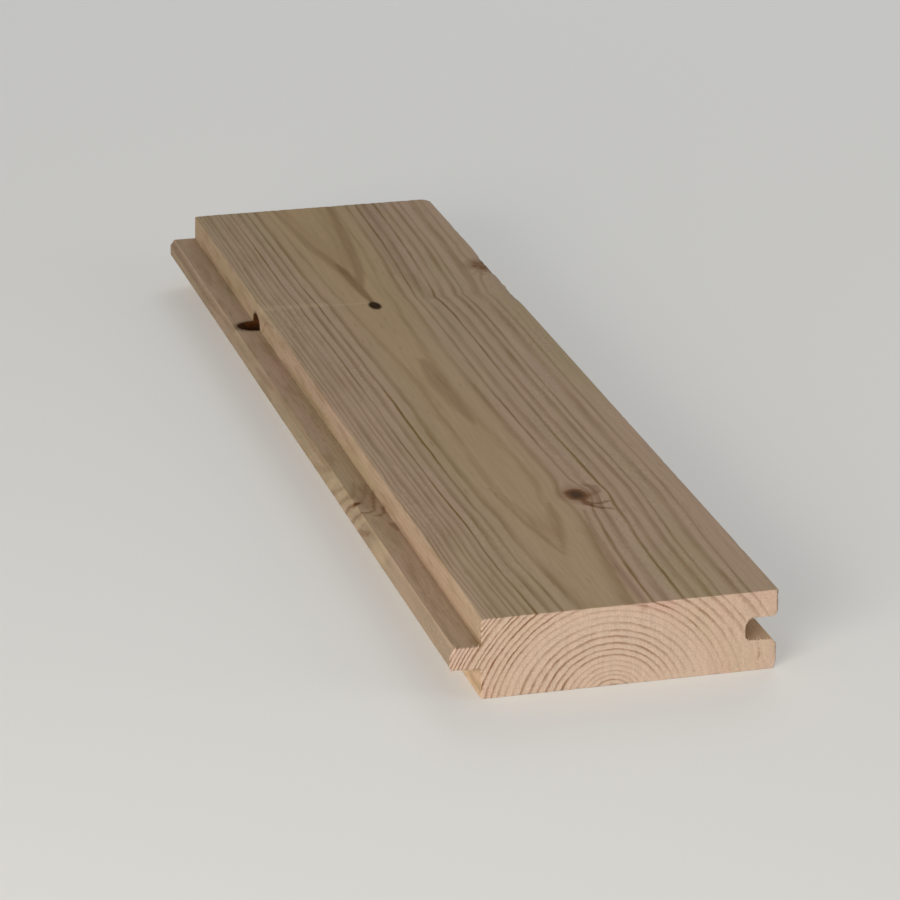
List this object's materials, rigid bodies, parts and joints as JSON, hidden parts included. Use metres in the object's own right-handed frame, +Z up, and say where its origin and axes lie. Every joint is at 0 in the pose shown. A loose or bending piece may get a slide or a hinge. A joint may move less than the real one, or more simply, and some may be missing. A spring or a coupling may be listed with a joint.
{
  "type": "solid wood floorboard",
  "caption": "Solid softwood floorboard with a tongue along one long edge, a groove along the other and a flat underside.",
  "frame": {"origin": "on the underside, at the middle of the length and of the width over the tongue", "axes": "+Y along the grain, +X from the tongue edge to the groove edge, +Z up from the underside to the face"},
  "size_m": [0.112, 0.45, 0.028],
  "materials": {
    "softwood": "planed, unfinished"
  },
  "bodies": {
    "root": {"floorboard": "softwood"}
  },
  "joints": []
}
